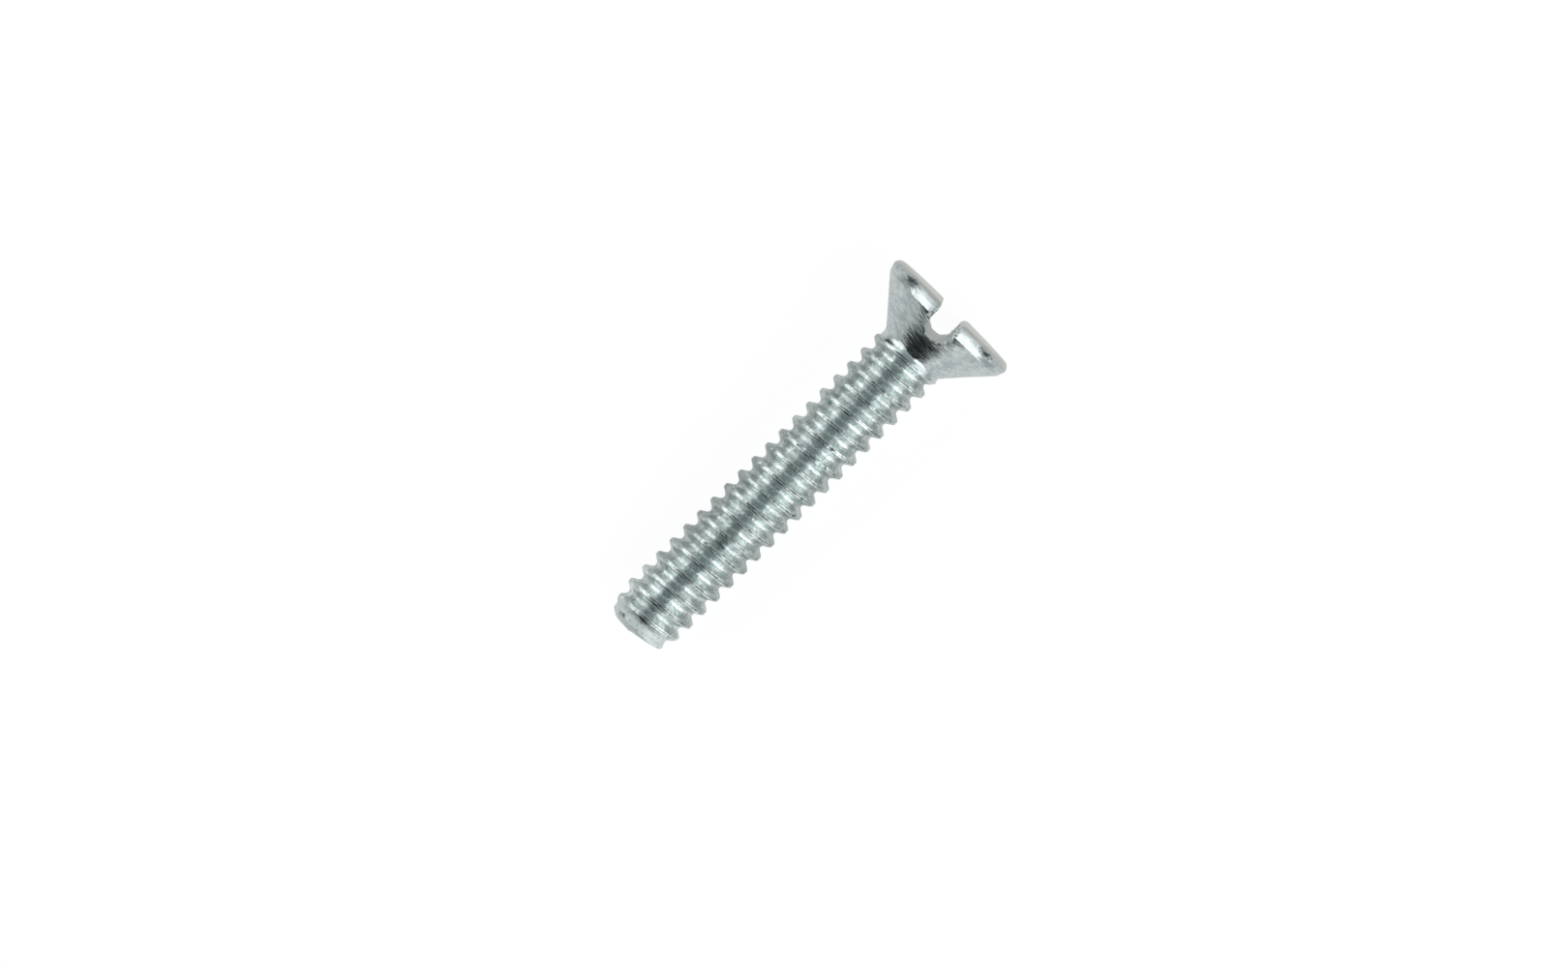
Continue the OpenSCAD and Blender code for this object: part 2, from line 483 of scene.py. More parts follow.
# a plated material with its tree, its shader and the place on the screw in millimetres
def platingBase(name):
    material = bpy.data.materials.new(name)
    material.use_nodes = True
    tree = material.node_tree
    shader = tree.nodes["Principled BSDF"]
    shader.inputs["Metallic"].default_value = 1.0
    where = addNode(tree, "ShaderNodeMapping", vector_type="TEXTURE")
    tree.links.new(addNode(tree, "ShaderNodeTexCoord").outputs["Object"], where.inputs["Vector"])
    where.inputs["Location"].default_value = cutEnd
    where.inputs["Rotation"].default_value = screwFrame.to_euler()
    where.inputs["Scale"].default_value = (mm, mm, mm)
    return material, tree, shader, where.outputs[0]


# Dark patches painted on the plating, the ones on the rim as painted dark reflections: angle round the axis
# and height, then half its width and half its height
darkPatches = {
    "rimLeft": (139, 18.41, 0.60, 0.21),
    "rimRight": (220.5, 18.46, 0.74, 0.16),
    "rimFarLeft": (112, 18.34, 0.10, 0.08),
    "neckPit": (137, 15.99, 0.40, 0.13),
    "crestEnd": (180.5, 0.66, 0.27, 0.18),
    "crestMiddle": (178, 5.20, 0.50, 0.10),
    "endPit": (141, 0.30, 0.30, 0.12),
    "endEdge": (181, -0.01, 0.30, 0.06),
}

# How far from the axis the dark patches of each part lie
darkPatchRadius = {
    "head": headRadius,
    "thread": 1.5,
    "end": 1.1,
    "face": 1.0,
}


# how dark each place of a part is painted: its dark patches, with ragged edges
def darkPatchesAt(tree, where, part, names):
    ragged = noiseAt(tree, stretched(tree, where, (1, 1, 2.2)), 5.0, 4.0, 0.7)
    ragged = times(tree, minus(tree, ragged, 0.5), 2.2)
    radius = darkPatchRadius[part]
    darkening = 0.0
    for name in names:
        angle, height, wide, tall = darkPatches[name]
        away = addNode(tree, "ShaderNodeMapping", vector_type="TEXTURE")
        tree.links.new(where, away.inputs["Vector"])
        turn = math.radians(angle)
        away.inputs["Location"].default_value = (radius * math.cos(turn), radius * math.sin(turn), height)
        away.inputs["Scale"].default_value = (wide, wide, tall)
        length = addNode(tree, "ShaderNodeVectorMath", operation="LENGTH")
        tree.links.new(away.outputs[0], length.inputs[0])
        reach = plus(tree, length.outputs["Value"], ragged)
        spot = ramp(tree, reach, 0.15, 1.15, 0.92, 0.0)
        darkening = larger(tree, darkening, spot)
    return darkening


def addBump(tree, shader, height, distance):
    bump = addNode(tree, "ShaderNodeBump")
    feed(tree, height, bump.inputs["Height"])
    bump.inputs["Distance"].default_value = distance * mm
    tree.links.new(bump.outputs[0], shader.inputs["Normal"])


# the thread, the neck and the side of the cut end
def threadPlating():
    look = platingLook
    material, tree, shader, where = platingBase("zincThread")
    mottle = useGroup(tree, grain, where)
    lines = useGroup(tree, marks, where)
    place = addNode(tree, "ShaderNodeSeparateXYZ")
    tree.links.new(where, place.inputs[0])
    toLeft = place.outputs[1]
    upwards = place.outputs[2]

    # painted shade in patches along the seam's crease, fainter to the left
    fromCrest = addNode(tree, "ShaderNodeAttribute", attribute_name="fromCrest").outputs["Fac"]
    shadeAtSeam = ramp(tree, fromCrest, *look["seamBand"], 1.0, 0.0)
    lessShadeLeft = ramp(tree, toLeft, *look["seamLeft"], 1.0, look["seamShadeLeft"])
    shadeAtSeam = times(tree, shadeAtSeam, lessShadeLeft)
    patchy = ramp(tree, mottle["Patches"], *look["seamPatches"])
    pastTaper = ramp(tree, upwards, *look["seamHeights"], 0.0, look["seamShade"])
    darkening = times(tree, shadeAtSeam, times(tree, patchy, pastTaper))
    darkening = larger(tree, darkening, times(tree, mottle["Specks"], look["threadSpecks"]))

    # the mottled zinc of the thread, the brighter neck and the pale, pitted end
    atNeck = ramp(tree, upwards, *[neckHeight + edge for edge in look["neckBand"]])
    sheared = ramp(tree, upwards, *look["shearedHeights"], 1.0, 0.0)
    pitted = ramp(tree, mottle["Grain"], *look["pits"])
    pitted = times(tree, pitted, times(tree, sheared, look["pitDirt"]))
    darkening = larger(tree, darkening, pitted)
    dull = dullness(tree, mottle["Patches"], mottle["Grain"])
    colour = mixColour(tree, dull, look["threadColour"], look["threadDull"])
    colour = mixColour(tree, atNeck, colour, look["headColour"])
    colour = mixColour(tree, sheared, colour, look["endColour"])
    # specks, pits and the seam's painted shade darken the colour
    colour = mixColour(tree, darkening, colour, look["dirtAndShadeColour"])
    # dark patches painted on the neck, the crests and the cut end
    patchedDark = darkPatchesAt(tree, where, "thread", ("neckPit", "crestEnd", "crestMiddle"))
    patchedDark = larger(tree, patchedDark, darkPatchesAt(tree, where, "end", ("endPit", "endEdge")))
    colour = mixColour(tree, patchedDark, colour, look["darkPatchColour"])
    feed(tree, colour, shader.inputs["Base Color"])

    rough = ramp(tree, mottle["Patches"], *look["roughPatches"], *look["threadRoughness"])
    rough = ramp(tree, atNeck, 0.0, 1.0, rough, look["neckRoughness"])
    rough = ramp(tree, sheared, 0.0, 1.0, rough, look["endRoughness"])
    feed(tree, rough, shader.inputs["Roughness"])
    scuffed = noiseAt(tree, where, 1.5, 2.0)
    scuffed = ramp(tree, scuffed, *look["scuffPatches"], look["fewScuffs"], look["scuffs"])
    scuffed = plus(tree, scuffed, times(tree, sheared, look["scuffs"]))
    height = times(tree, minus(tree, mottle["Grain"], 0.5), scuffed)
    height = plus(tree, height, plus(tree, lines["Marks"], lines["Streaks"]))
    addBump(tree, shader, height, look["marks"])
    return material


# The driver slot and the marks that its cutter left
slotShape = {
    "width": 1.16,
    "depth": 1.38,
    "floorTilt": 2.5,
    "lean": 3.0,
    "leftLip": 0.15,
    "rightLip": 0.28,
    "sawMark": 0.012,
    "chatter": 0.02,
    "burr": 0.08,
    "burrRise": 0.15,
    "burrDeepest": -0.4,
    "burrsBelowTop": 0.3,
    "cutterMargin": 0.6,
    "sections": 110,
}


# the heights of a band that is given by how far it lies below the flat of the head
def belowTop(band):
    return [screwShape["length"] - depth for depth in platingLook[band]]


# how near each place is to the slot's edge, from its round floor and its two walls, and less near the top
def nearSlot(tree, place):
    half = slotShape["width"] / 2
    floorCentre = screwShape["length"] - slotShape["depth"] + half
    below = larger(tree, minus(tree, floorCentre, place.outputs[2]), 0.0)
    square = times(tree, place.outputs[1], place.outputs[1])
    square = plus(tree, square, times(tree, below, below))
    away = maths(tree, "ABSOLUTE", minus(tree, maths(tree, "SQRT", square), half))
    lowDown = ramp(tree, place.outputs[2], *belowTop("topBand"), 1.0, 0.25)
    return times(tree, ramp(tree, away, *platingLook["slotBand"], 1.0, 0.0), lowDown)


# the cone and the rim, turned, with torn metal at the slot's edges
def headPlating():
    look = platingLook
    material, tree, shader, where = platingBase("zincHead")
    mottle = useGroup(tree, grain, where)
    lines = useGroup(tree, marks, where)
    place = addNode(tree, "ShaderNodeSeparateXYZ")
    tree.links.new(where, place.inputs[0])
    upwards = place.outputs[2]
    crumbs = noiseAt(tree, stretched(tree, where, (1, 1, 1.3)), 7.0, 3.0, 0.6)
    atSlot = nearSlot(tree, place)

    dull = dullness(tree, mottle["Patches"], lines["Marks"])
    colour = mixColour(tree, dull, look["headColour"], look["headDull"])
    nearTop = ramp(tree, upwards, *belowTop("warmBand"))
    colour = mixColour(tree, nearTop, colour, look["warmColour"])
    darkening = times(tree, ramp(tree, crumbs, *look["crumbDirt"], 0.9, 0.0), atSlot)
    darkening = larger(tree, darkening, times(tree, mottle["Specks"], look["headSpecks"]))
    colour = mixColour(tree, darkening, colour, look["dirtAndShadeColour"])
    # painted dark reflections on the rim
    patchedDark = darkPatchesAt(tree, where, "head", ("rimLeft", "rimRight", "rimFarLeft"))
    colour = mixColour(tree, patchedDark, colour, look["darkPatchColour"])
    feed(tree, colour, shader.inputs["Base Color"])

    rough = ramp(tree, mottle["Patches"], *look["roughPatches"], *look["coneRoughness"])
    torn = times(tree, ramp(tree, crumbs, *look["crumbTorn"]), atSlot)
    rough = ramp(tree, torn, 0.0, 1.0, rough, look["tornRoughness"])
    onRim = ramp(tree, upwards, *[ridgeHeight + edge for edge in look["rimBand"]])
    rough = ramp(tree, onRim, 0.0, 1.0, rough, look["rimRoughness"])
    feed(tree, rough, shader.inputs["Roughness"])

    # turning marks round the cone and crumbs of torn metal at the slot
    height = plus(tree, times(tree, mottle["Grain"], 0.25), lines["Marks"])
    height = plus(tree, height, times(tree, lines["Streaks"], 0.8))
    torn = times(tree, minus(tree, crumbs, 0.5), atSlot)
    torn = times(tree, torn, look["burrs"] / look["marks"])
    addBump(tree, shader, plus(tree, height, torn), look["marks"])
    return material


# bright metal with fine saw marks along the slot
def slotPlating():
    look = platingLook
    material, tree, shader, where = platingBase("zincSlot")
    mottle = useGroup(tree, grain, where)
    sawn = noiseAt(tree, stretched(tree, where, (0.8, 9.0, 9.0)), 2.0, 3.0, 0.6)
    dull = ramp(tree, mottle["Patches"], *look["softMottling"])
    colour = mixColour(tree, dull, look["warmColour"], look["headColour"])
    darkening = ramp(tree, sawn, 0.55, 0.75, 0.0, look["slotDirt"])
    colour = mixColour(tree, darkening, colour, look["dirtAndShadeColour"])
    feed(tree, colour, shader.inputs["Base Color"])
    shader.inputs["Roughness"].default_value = look["slotRoughness"]
    height = plus(tree, times(tree, mottle["Grain"], 1.5), sawn)
    addBump(tree, shader, height, look["burrs"])
    return material


# the face of the cut end
def endPlating():
    look = platingLook
    material, tree, shader, where = platingBase("zincCutEnd")
    mottle = useGroup(tree, grain, where)
    dull = ramp(tree, mottle["Patches"], *look["softMottling"])
    colour = mixColour(tree, dull, look["headColour"], look["headDull"])
    darkening = times(tree, mottle["Specks"], look["faceSpecks"])
    colour = mixColour(tree, darkening, colour, look["dirtAndShadeColour"])
    # a dark patch painted on the edge of the cut end
    patchedDark = darkPatchesAt(tree, where, "face", ("endEdge",))
    colour = mixColour(tree, patchedDark, colour, look["darkPatchColour"])
    feed(tree, colour, shader.inputs["Base Color"])
    shader.inputs["Roughness"].default_value = look["faceRoughness"]
    addBump(tree, shader, mottle["Grain"], look["faceGrain"])
    return material


platings = {
    "thread": threadPlating(),
    "head": headPlating(),
    "slot": slotPlating(),
    "end": endPlating(),
}
print("plating made")

threadSizes = dict(threadShape)
threadSizes.update({
    "Neck radius": neckRadius,
    "Neck height": neckHeight,
    "Join height": joinHeight,
    "Fillet start": filletStart,
    "Fillet radius": screwShape["neckFillet"],
    "Steps around": screwShape["stepsAround"],
    "Plating": platings["thread"],
})
threadMesh = grownMesh(threadTree(), threadSizes)
print("thread grown with", len(threadMesh.polygons), "faces")


# points of an arc between two angles in degrees
def arcPoints(centre, radius, first, last, count):
    points = []
    for step in range(count + 1):
        angle = math.radians(first + (last - first) * step / count)
        points.append((centre[0] + radius * math.cos(angle), centre[1] + radius * math.sin(angle)))
    return points


# points of a straight stretch, without its first
def straight(first, last, count):
    points = []
    for step in range(1, count + 1):
        across = first[0] + (last[0] - first[0]) * step / count
        points.append((across, first[1] + (last[1] - first[1]) * step / count))
    return points


# The head and the cut end are turned on from the thread's open ends: rings on each stretch of the head
headSteps = {
    "fillet": 24,
    "cone": 26,
    "ridge": 5,
    "rim": 6,
    "round": 18,
    "flat": 12,
}


# radius and height of each ring, from the fillet over the rim to the middle of the flat
def headProfile():
    size = screwShape
    slope = size["headAngle"] / 2
    filletCentre = (filletStart + size["neckFillet"], neckHeight)
    fillet = arcPoints(filletCentre, size["neckFillet"], 180, 180 - slope, headSteps["fillet"])
    fillet = [point for point in fillet if point[1] > joinHeight + 0.012]   # clear of the thread's end
    soft = size["ridgeRound"]
    bend = math.tan(math.radians((90 - slope) / 2)) * soft      # how far the soft ridge reaches each way
    ridge = (ridgeRadius - bend * math.sin(coneAngle), ridgeHeight - bend * math.cos(coneAngle))
    softCentre = (ridge[0] - soft * math.cos(coneAngle), ridge[1] + soft * math.sin(coneAngle))
    leave = arcPoints(softCentre, soft, -slope, -4, headSteps["ridge"])
    roundCentre = (headRadius - size["rimRound"], size["length"] - size["rimRound"])
    over = arcPoints(roundCentre, size["rimRound"], -2, 90, headSteps["round"])
    profile = fillet + straight(fillet[-1], leave[0], headSteps["cone"])[:-1] + leave
    profile += straight(leave[-1], over[0], headSteps["rim"])[:-1] + over
    return profile + straight(over[-1], (0, size["length"]), headSteps["flat"])[:-1]


# how worn a ring is at an angle, the same at every run
def ringRoughness(radius, height, angle, amount, scale):
    spot = Vector((math.cos(angle) * radius, math.sin(angle) * radius, height))
    return noise.fractal(spot * scale, 0.9, 2.0, 4) * amount


# a ring of the head, worn inwards on its sides and downwards on its flat
def headRing(body, radius, height, steps):
    ring = []
    onSide = min(1.0, max(0.0, (screwShape["length"] - height) / 0.05))     # fades just under the flat
    for step in range(steps):
        angle = 2 * math.pi * step / steps
        rough = abs(ringRoughness(radius, height, angle, screwShape["headWear"], 1.7))
        worn = radius - rough * onSide
        spot = (worn * math.cos(angle), worn * math.sin(angle), height - rough * (1 - onSide))
        ring.append(body.verts.new(spot))
    return ring


# height of the sheared cut end, which slants up to the right
def endHeight(across):
    return max(0.0, (threadShape["Shear start"] - across) * threadShape["Shear slope"])


# a ring of the cut end: its edge loop drawn in towards the axis, and rougher the farther in
def endRing(body, edge, share, steps):
    ring = []
    for step in range(steps):
        spot = edge[step].co.xy * share
        angle = 2 * math.pi * step / steps
        rough = abs(ringRoughness(spot.length, 0, angle, screwShape["endWear"], 2.3))
        ring.append(body.verts.new((spot.x, spot.y, endHeight(spot.y) + rough * (1 - share ** 4))))
    return ring


# faces between rings that follow one another, with a fan to the tip, and turned over at the cut end
def joinRings(body, rings, tip, material, turnedOver=False):
    steps = len(rings[0])
    middle = body.verts.new(tip)
    for first, second in zip(rings, rings[1:] + [None]):
        for step in range(steps):
            after = (step + 1) % steps
            corners = [first[step], first[after]]
            corners += [second[after], second[step]] if second else [middle]
            if turnedOver:
                corners.reverse()
            face = body.faces.new(corners)
            face.material_index = bodyMaterials.index(material)


# the thread's open end between two heights, in order round the axis
def openLoop(body, low, high):
    found = [vert for vert in body.verts if vert.is_boundary and low < vert.co.z < high]
    found.sort(key=lambda vert: math.atan2(vert.co.y, vert.co.x) % (2 * math.pi))
    return found


bodyMaterials = ("thread", "head", "end")      # in the order of their slots on the mesh
body = bmesh.new()
body.from_mesh(threadMesh)
for face in body.faces:
    face.material_index = bodyMaterials.index("thread")
bmesh.ops.dissolve_degenerate(body, dist=0.0004, edges=body.edges)
body.verts.ensure_lookup_table()
highLoop = openLoop(body, joinHeight - 0.01, joinHeight + 0.01)
lowLoop = openLoop(body, -0.1, threadShape["End taper"])
print("open loops of", len(highLoop), "and", len(lowLoop), "points")
headRings = [highLoop] + [headRing(body, radius, height, len(highLoop)) for radius, height in headProfile()]
joinRings(body, headRings, (0, 0, screwShape["length"]), "head")
endShares = (0.94, 0.86, 0.75, 0.6, 0.45, 0.3, 0.15)     # how far out each ring of the end lies
endRings = [lowLoop] + [endRing(body, lowLoop, share, len(lowLoop)) for share in endShares]
joinRings(body, endRings, (0, 0, endHeight(0)), "end", turnedOver=True)
screwMesh = bpy.data.meshes.new("screwBody")
body.to_mesh(screwMesh)
body.free()
for name in bodyMaterials:
    screwMesh.materials.append(platings[name])
screw = bpy.data.objects.new("screwBody", screwMesh)
scene.collection.objects.link(screw)
print("head and cut end turned on,", len(screwMesh.polygons), "faces")


# the slot's outline with its lips, as sides and heights from the flat of the head
def slotProfile():
    size = slotShape
    half = size["width"] / 2
    left, right = size["leftLip"], size["rightLip"]
    floorSteps = 26
    wallSteps = 9
    lipSteps = 8
    roundFloor = arcPoints((0, half - size["depth"]), half, 180, 360, floorSteps)
    rightWall = straight((-half, -right), roundFloor[0], wallSteps)[:-1]
    leftWall = straight(roundFloor[-1], (half, -left), wallSteps)[:-1]
    leftCorner = arcPoints((half + left, -left), left, 180, 90, lipSteps)
    rightCorner = arcPoints((-half - right, -right), right, 90, 0, lipSteps)
    aboveHead = [(half + left, size["cutterMargin"]), (-half - right, size["cutterMargin"])]
    return rightCorner + rightWall + roundFloor + leftWall + leftCorner + aboveHead


# a point of that outline with saw marks and chatter, the slope of the floor and the slot's lean
def slotPoint(along, side, height):
    size = slotShape
    if height < -0.02:                       # the lips and what is above the head stay plain
        saw = noise.noise(Vector((along * 0.35, side * 14, height * 14))) * size["sawMark"]
        chatter = noise.fractal(Vector((along * 2.3, side * 2.0, height * 2.0)), 0.8, 2.0, 4)
        chatter *= size["chatter"]
        inward = Vector((side, height + size["depth"] / 2)).normalized() * -abs(saw + chatter)
        share = min(1.0, -height / size["depth"])
        tilt = along * math.tan(math.radians(size["floorTilt"])) * share
        side = side + inward.x
        height = height + inward.y + tilt
    side += (height + size["depth"] / 3) * math.tan(math.radians(size["lean"]))
    return along, side, screwShape["length"] + height


# the cutter: the outline swept along the slot
def slotCutter():
    reach = headRadius + slotShape["cutterMargin"]
    profile = slotProfile()
    cutter = bmesh.new()
    rows = []
    for section in range(slotShape["sections"] + 1):
        along = -reach + 2 * reach * section / slotShape["sections"]
        rows.append([cutter.verts.new(slotPoint(along, side, height)) for side, height in profile])
    count = len(profile)
    for first, second in zip(rows, rows[1:]):
        for step in range(count):
            after = (step + 1) % count
            cutter.faces.new((first[step], first[after], second[after], second[step]))
    cutter.faces.new(list(reversed(rows[0])))
    cutter.faces.new(rows[-1])
    bmesh.ops.recalc_face_normals(cutter, faces=cutter.faces)
    mesh = bpy.data.meshes.new("slotCutter")
    cutter.to_mesh(mesh)
    cutter.free()
    mesh.materials.append(platings["slot"])
    cutterObject = bpy.data.objects.new("slotCutter", mesh)
    scene.collection.objects.link(cutterObject)
    return cutterObject


cutter = slotCutter()
cut = screw.modifiers.new("slot", "BOOLEAN")
cut.operation = "DIFFERENCE"
cut.solver = "EXACT"
cut.object = cutter
cut.material_mode = "TRANSFER"
cutMesh = bpy.data.meshes.new_from_object(screw.evaluated_get(bpy.context.evaluated_depsgraph_get()))
screw.modifiers.clear()
screw.data = cutMesh
bpy.data.objects.remove(cutter)
print("slot cut,", len(cutMesh.polygons), "faces,", [item.name for item in cutMesh.materials if item])


# burrs and small bites on the slot's lower edges
def raiseBurrs(mesh):
    slotIndex = [item.name for item in mesh.materials].index(platings["slot"].name)
    work = bmesh.new()
    work.from_mesh(mesh)
    work.normal_update()
    for vert in work.verts:
        kinds = {face.material_index for face in vert.link_faces}
        lowDown = vert.co.z < screwShape["length"] - slotShape["burrsBelowTop"]
        if slotIndex in kinds and len(kinds) > 1 and lowDown:
            lift = noise.fractal(vert.co * 5.0, 0.8, 2.0, 4) + slotShape["burrRise"]
            vert.co += vert.normal * max(slotShape["burrDeepest"], lift) * slotShape["burr"]
    work.to_mesh(mesh)
    work.free()


# the top of the head sits slightly askew: lower on its near side and its left, and drawn in on the left
def tipHead(mesh):
    size = screwShape
    start = ridgeHeight - size["askewReach"]
    for vert in mesh.vertices:
        share = min(1.0, max(0.0, (vert.co.z - start) / (ridgeHeight - start)))
        share = share * share * (3 - 2 * share)
        near = (1 - vert.co.x / headRadius) / 2
        left = (1 + vert.co.y / headRadius) / 2
        vert.co.z -= share * (size["tipsForward"] * near + size["tipsLeft"] * left)
        if vert.co.y > 0:
            vert.co.y -= share * size["drawnInLeft"] * vert.co.y / headRadius


# Dents: angle round the axis and height, then reach along the thread and across it, and depth
dents = {
    "leftCrestHigh": (124, 10.27, 0.16, 0.09, 0.09),
    "leftCrestMiddle": (127, 9.47, 0.17, 0.08, 0.08),
    "leftCrestLow": (131, 8.69, 0.18, 0.08, 0.07),
    "rightCrestHigh": (206, 10.45, 0.30, 0.09, 0.09),
    "rightCrestNick": (195, 11.22, 0.17, 0.08, 0.07),
    "rightCrestLow": (225, 8.90, 0.22, 0.08, 0.08),
    "rightCrestLower": (238, 8.14, 0.24, 0.08, 0.07),
    "endPit": (141, 0.30, 0.12, 0.10, 0.07),
    "endChip": (183, 0.04, 0.28, 0.07, 0.06),
}


# dents pressed towards the axis, slanted as the thread is
def pressDents(mesh):
    climb = threadShape["Pitch"] / (2 * math.pi * threadShape["Crest radius"])
    for angle, height, length, breadth, depth in dents.values():
        turn = math.radians(angle)
        outwards = Vector((math.cos(turn), math.sin(turn), 0))
        sideways = Vector((-math.sin(turn), math.cos(turn), 0))
        for vert in mesh.vertices:
            facing = vert.co.dot(outwards) > 0.5
            if facing and abs(vert.co.z - height) < length:
                along = vert.co.dot(sideways)
                up = vert.co.z - height - along * climb
                away = (along / length) ** 2 + (up / breadth) ** 2
                if away < 1:
                    vert.co -= outwards * depth * (1 - away) ** 1.5


raiseBurrs(cutMesh)
tipHead(cutMesh)
pressDents(cutMesh)
cutMesh.polygons.foreach_set("use_smooth", [True] * len(cutMesh.polygons))
cutMesh.set_sharp_from_angle(angle=math.radians(screwShape["sharpAngle"]))
cutMesh.transform(placeScrew)
# no burr or bump stands past the CAD model's box
lowCorner, highCorner = [Vector(corner) for corner in cadBox]
for vert in cutMesh.vertices:
    for axis in range(3):
        vert.co[axis] = min(max(vert.co[axis], lowCorner[axis]), highCorner[axis])
cutMesh.update()
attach(screw, "root")
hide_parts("screw")
print("screw finished with", sum(len(face.vertices) - 2 for face in cutMesh.polygons), "triangles")


# The softboxes either side of the screw, the dark cards and the floor, in millimetres and degrees from
# straight up. A pool of light on the floor has its place along and across the screw, its glow, and the
# distances at which it starts to fade and is gone. The mat is a dark fan beyond the cut end.
studioLook = {
    "boxDistance": 200,
    "boxBeyondEnd": 400,
    "boxBeyondHead": 130,
    "leftFrom": 32,
    "leftTo": 83,
    "leftGlow": 0.98,
    "rightFrom": 23,
    "rightTo": 89,
    "rightGlow": 1.20,
    "ceiling": (0.30, 0.35, 0.355, 1),
    "horizon": (0.30, 0.335, 0.34, 1),
    "besideHead": (0.62, 0.62, 0.61, 1),
    "cardDistance": 120,
    "cardWidth": 100,
    "cardHeight": 150,
    "spotCardSize": 11,
    "spotCardAlong": 21,
    "spotCardAside": 48,
    "spotCardHeight": 11,
    "floorSize": 900,
    "floorShade": 0.50,
    "floorSeen": 0.10,
    "floorGlow": 0.93,
    "matShade": 0.03,
    "matStart": 19,
    "matEdge": 4,
    "matFrom": 8,
    "matSpread": 0.56,
    "pools": (
        (6, 0, 0.34, 5, 15),
        (-11, 0, 0.48, 3, 9),
        (-10, -12.5, 0.42, 4, 11),
        (-10, 12.5, 0.20, 4, 11),
    ),
}


# a dull material for the floor and the cards
def plainMaterial(name, colour):
    material = bpy.data.materials.new(name)
    material.use_nodes = True
    shader = material.node_tree.nodes["Principled BSDF"]
    shader.inputs["Base Color"].default_value = colour
    shader.inputs["Roughness"].default_value = 0.8
    shader.inputs["Specular IOR Level"].default_value = 0.1
    return material


# white to the camera but for a faint shadow, and to reflections mid-grey with the mat and the pools
def floorMaterial():
    look = studioLook
    material = plainMaterial("studioFloor", (1, 1, 1, 1))
    tree = material.node_tree
    shader = tree.nodes["Principled BSDF"]
    onFloor = addNode(tree, "ShaderNodeTexCoord").outputs["Object"]
    place = addNode(tree, "ShaderNodeSeparateXYZ")
    tree.links.new(onFloor, place.inputs[0])
    matEnd = look["matStart"] + look["matEdge"]
    beyond = ramp(tree, place.outputs[0], -matEnd * mm, -look["matStart"] * mm, 1.0, 0.0)
    fromPoint = minus(tree, look["matFrom"] * mm, place.outputs[0])
    aside = divided(tree, maths(tree, "ABSOLUTE", place.outputs[1]), fromPoint)
    mat = ramp(tree, aside, look["matSpread"] * 0.8, look["matSpread"] * 1.2, 1.0, 0.0)
    mat = times(tree, mat, beyond)
    shade = ramp(tree, mat, 0.0, 1.0, look["floorShade"], look["matShade"], smooth=False)
    seen = addNode(tree, "ShaderNodeLightPath").outputs["Is Camera Ray"]
    shade = ramp(tree, seen, 0.0, 1.0, shade, look["floorSeen"], smooth=False)
    feed(tree, shade, shader.inputs["Base Color"])
    pools = 0.0
    for along, across, glow, near, far in look["pools"]:
        away = addNode(tree, "ShaderNodeVectorMath", operation="DISTANCE")
        tree.links.new(onFloor, away.inputs[0])
        away.inputs[1].default_value = (along * mm, across * mm, 0)
        pool = ramp(tree, away.outputs["Value"], near * mm, far * mm, glow, 0.0)
        pools = plus(tree, pools, pool)
    glow = ramp(tree, seen, 0.0, 1.0, pools, look["floorGlow"], smooth=False)
    feed(tree, glow, shader.inputs["Emission Strength"])
    shader.inputs["Emission Color"].default_value = (1, 1, 1, 1)
    return material


def plane(name, width, length, material):
    mesh = bpy.data.meshes.new(name)
    half = width / 2 * mm
    run = length / 2 * mm
    corners = [(-half, -run, 0), (half, -run, 0), (half, run, 0), (-half, run, 0)]
    mesh.from_pydata(corners, [], [(0, 1, 2, 3)])
    mesh.materials.append(material)
    item = bpy.data.objects.new(name, mesh)
    scene.collection.objects.link(item)
    return item


# a long box beside the screw, spanning these angles from straight up
def softbox(name, side, fromAngle, toAngle, glow):
    distance = studioLook["boxDistance"] * mm
    middle = math.radians((fromAngle + toAngle) / 2)
    width = 2 * distance * math.tan(math.radians((toAngle - fromAngle) / 2))
    length = (studioLook["boxBeyondEnd"] + studioLook["boxBeyondHead"]) * mm
    along = (studioLook["boxBeyondHead"] - studioLook["boxBeyondEnd"]) / 2 * mm
    data = bpy.data.lights.new(name, "AREA")
    data.shape = "RECTANGLE"
    data.size = length
    data.size_y = width
    data.energy = glow * math.pi * length * width
    lamp = bpy.data.objects.new(name, data)
    scene.collection.objects.link(lamp)
    outwards = Vector((0, side * math.sin(middle), math.cos(middle)))
    sideways = Vector((1, 0, 0))
    facing = Matrix((sideways, outwards.cross(sideways), outwards)).transposed()
    lamp.matrix_world = Matrix.Translation(outwards * distance + sideways * along) @ facing.to_4x4()
    lamp.visible_camera = False


floor = plane("floor", studioLook["floorSize"], studioLook["floorSize"], floorMaterial())
blackCard = plainMaterial("blackCard", (0.01, 0.01, 0.01, 1))
card = plane("darkCard", studioLook["cardWidth"], studioLook["cardHeight"], blackCard)
cardPlace = Vector((-studioLook["cardDistance"], 0, studioLook["cardHeight"] / 2)) * mm
card.matrix_world = Matrix.Translation(cardPlace) @ Matrix(((0, 0, 1), (1, 0, 0), (0, 1, 0))).to_4x4()
card.visible_camera = False
upright = Matrix.Rotation(math.radians(90), 4, "X")
for side in (-1, 1):
    small = plane("spotCard", studioLook["spotCardSize"], studioLook["spotCardSize"], blackCard)
    aside = side * studioLook["spotCardAside"]
    smallPlace = Vector((studioLook["spotCardAlong"], aside, studioLook["spotCardHeight"])) * mm
    small.matrix_world = Matrix.Translation(smallPlace) @ upright
    small.visible_camera = False
softbox("leftBox", 1, studioLook["leftFrom"], studioLook["leftTo"], studioLook["leftGlow"])
softbox("rightBox", -1, studioLook["rightFrom"], studioLook["rightTo"], studioLook["rightGlow"])


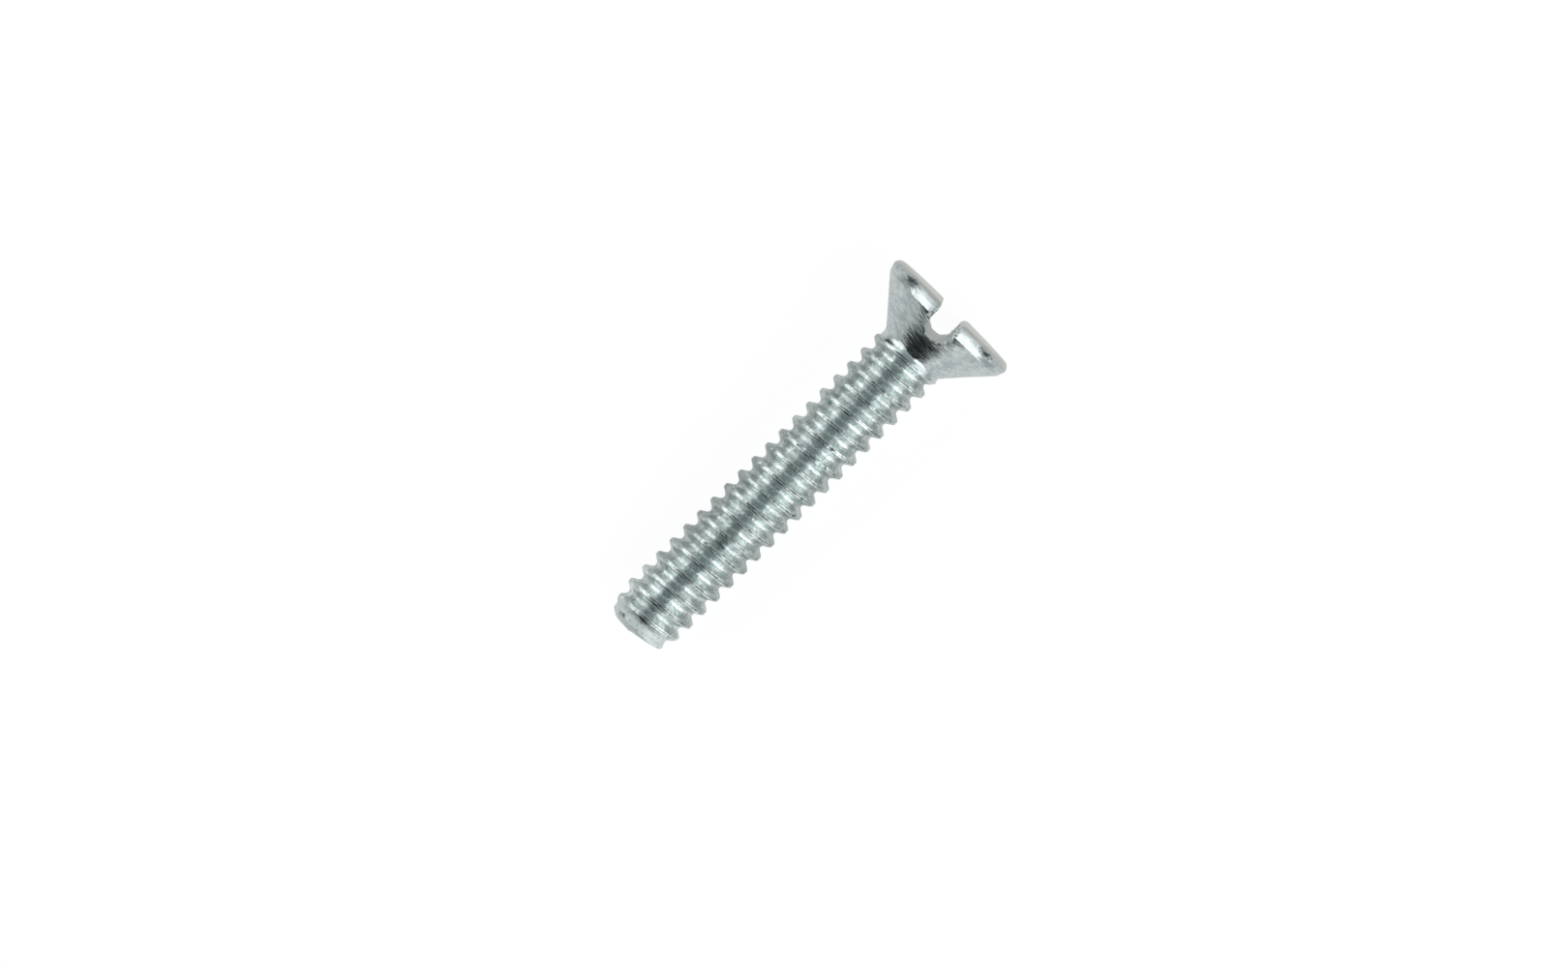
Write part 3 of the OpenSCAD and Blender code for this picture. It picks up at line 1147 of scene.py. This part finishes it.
# the room: its walls, lighter beside the head, and its ceiling
def roomWorld():
    world = bpy.data.worlds.new("room")
    world.use_nodes = True
    tree = world.node_tree
    direction = addNode(tree, "ShaderNodeSeparateXYZ")
    tree.links.new(addNode(tree, "ShaderNodeTexCoord").outputs["Generated"], direction.inputs[0])
    high = ramp(tree, direction.outputs[2], 0.3, 0.85)
    aside = ramp(tree, maths(tree, "ABSOLUTE", direction.outputs[1]), 0.15, 0.4)
    aside = times(tree, aside, ramp(tree, direction.outputs[0], 0.0, 0.3))
    walls = mixColour(tree, aside, studioLook["horizon"], studioLook["besideHead"])
    air = mixColour(tree, high, walls, studioLook["ceiling"])
    feed(tree, air, tree.nodes["Background"].inputs["Color"])
    return world


scene.world = roomWorld()
scene.view_settings.view_transform = "Standard"
scene.view_settings.look = "None"


# The camera: its distance, what its frame shows across, and how it is turned and shifted
cameraLook = {
    "distance": 330,
    "frameWidth": 64.61,
    "axisTurn": 44.818,
    "alongAxis": 8.747,
    "toTheRight": 0.104,
    "towardsHead": 2.8,
    "towardsLeft": 1.0,
    "sensorWidth": 36,
}


# the camera looks down on the screw, its axis turned to the upper right
def placeCamera():
    look = cameraLook
    upwards = -downwards
    tilt = math.radians(look["towardsHead"])
    lean = math.radians(look["towardsLeft"])
    back = upwards * math.cos(tilt) * math.cos(lean) + headAxis * math.sin(tilt)
    back += leftwards * math.sin(lean)
    back.normalize()
    alongPicture = (headAxis - back * headAxis.dot(back)).normalized()
    besidePicture = back.cross(alongPicture)
    turn = math.radians(look["axisTurn"])
    right = alongPicture * math.cos(turn) - besidePicture * math.sin(turn)
    up = alongPicture * math.sin(turn) + besidePicture * math.cos(turn)
    target = cutEnd + headAxis * look["alongAxis"] * mm - leftwards * look["toTheRight"] * mm
    data = bpy.data.cameras.new("camera")
    data.sensor_width = look["sensorWidth"]
    data.lens = look["distance"] / look["frameWidth"] * look["sensorWidth"]
    data.clip_start = 0.005
    data.clip_end = 5
    camera = bpy.data.objects.new("camera", data)
    scene.collection.objects.link(camera)
    facing = Matrix((right, up, back)).transposed()
    camera.matrix_world = Matrix.Translation(target + back * look["distance"] * mm) @ facing.to_4x4()
    scene.camera = camera


placeCamera()
bpy.context.view_layer.update()
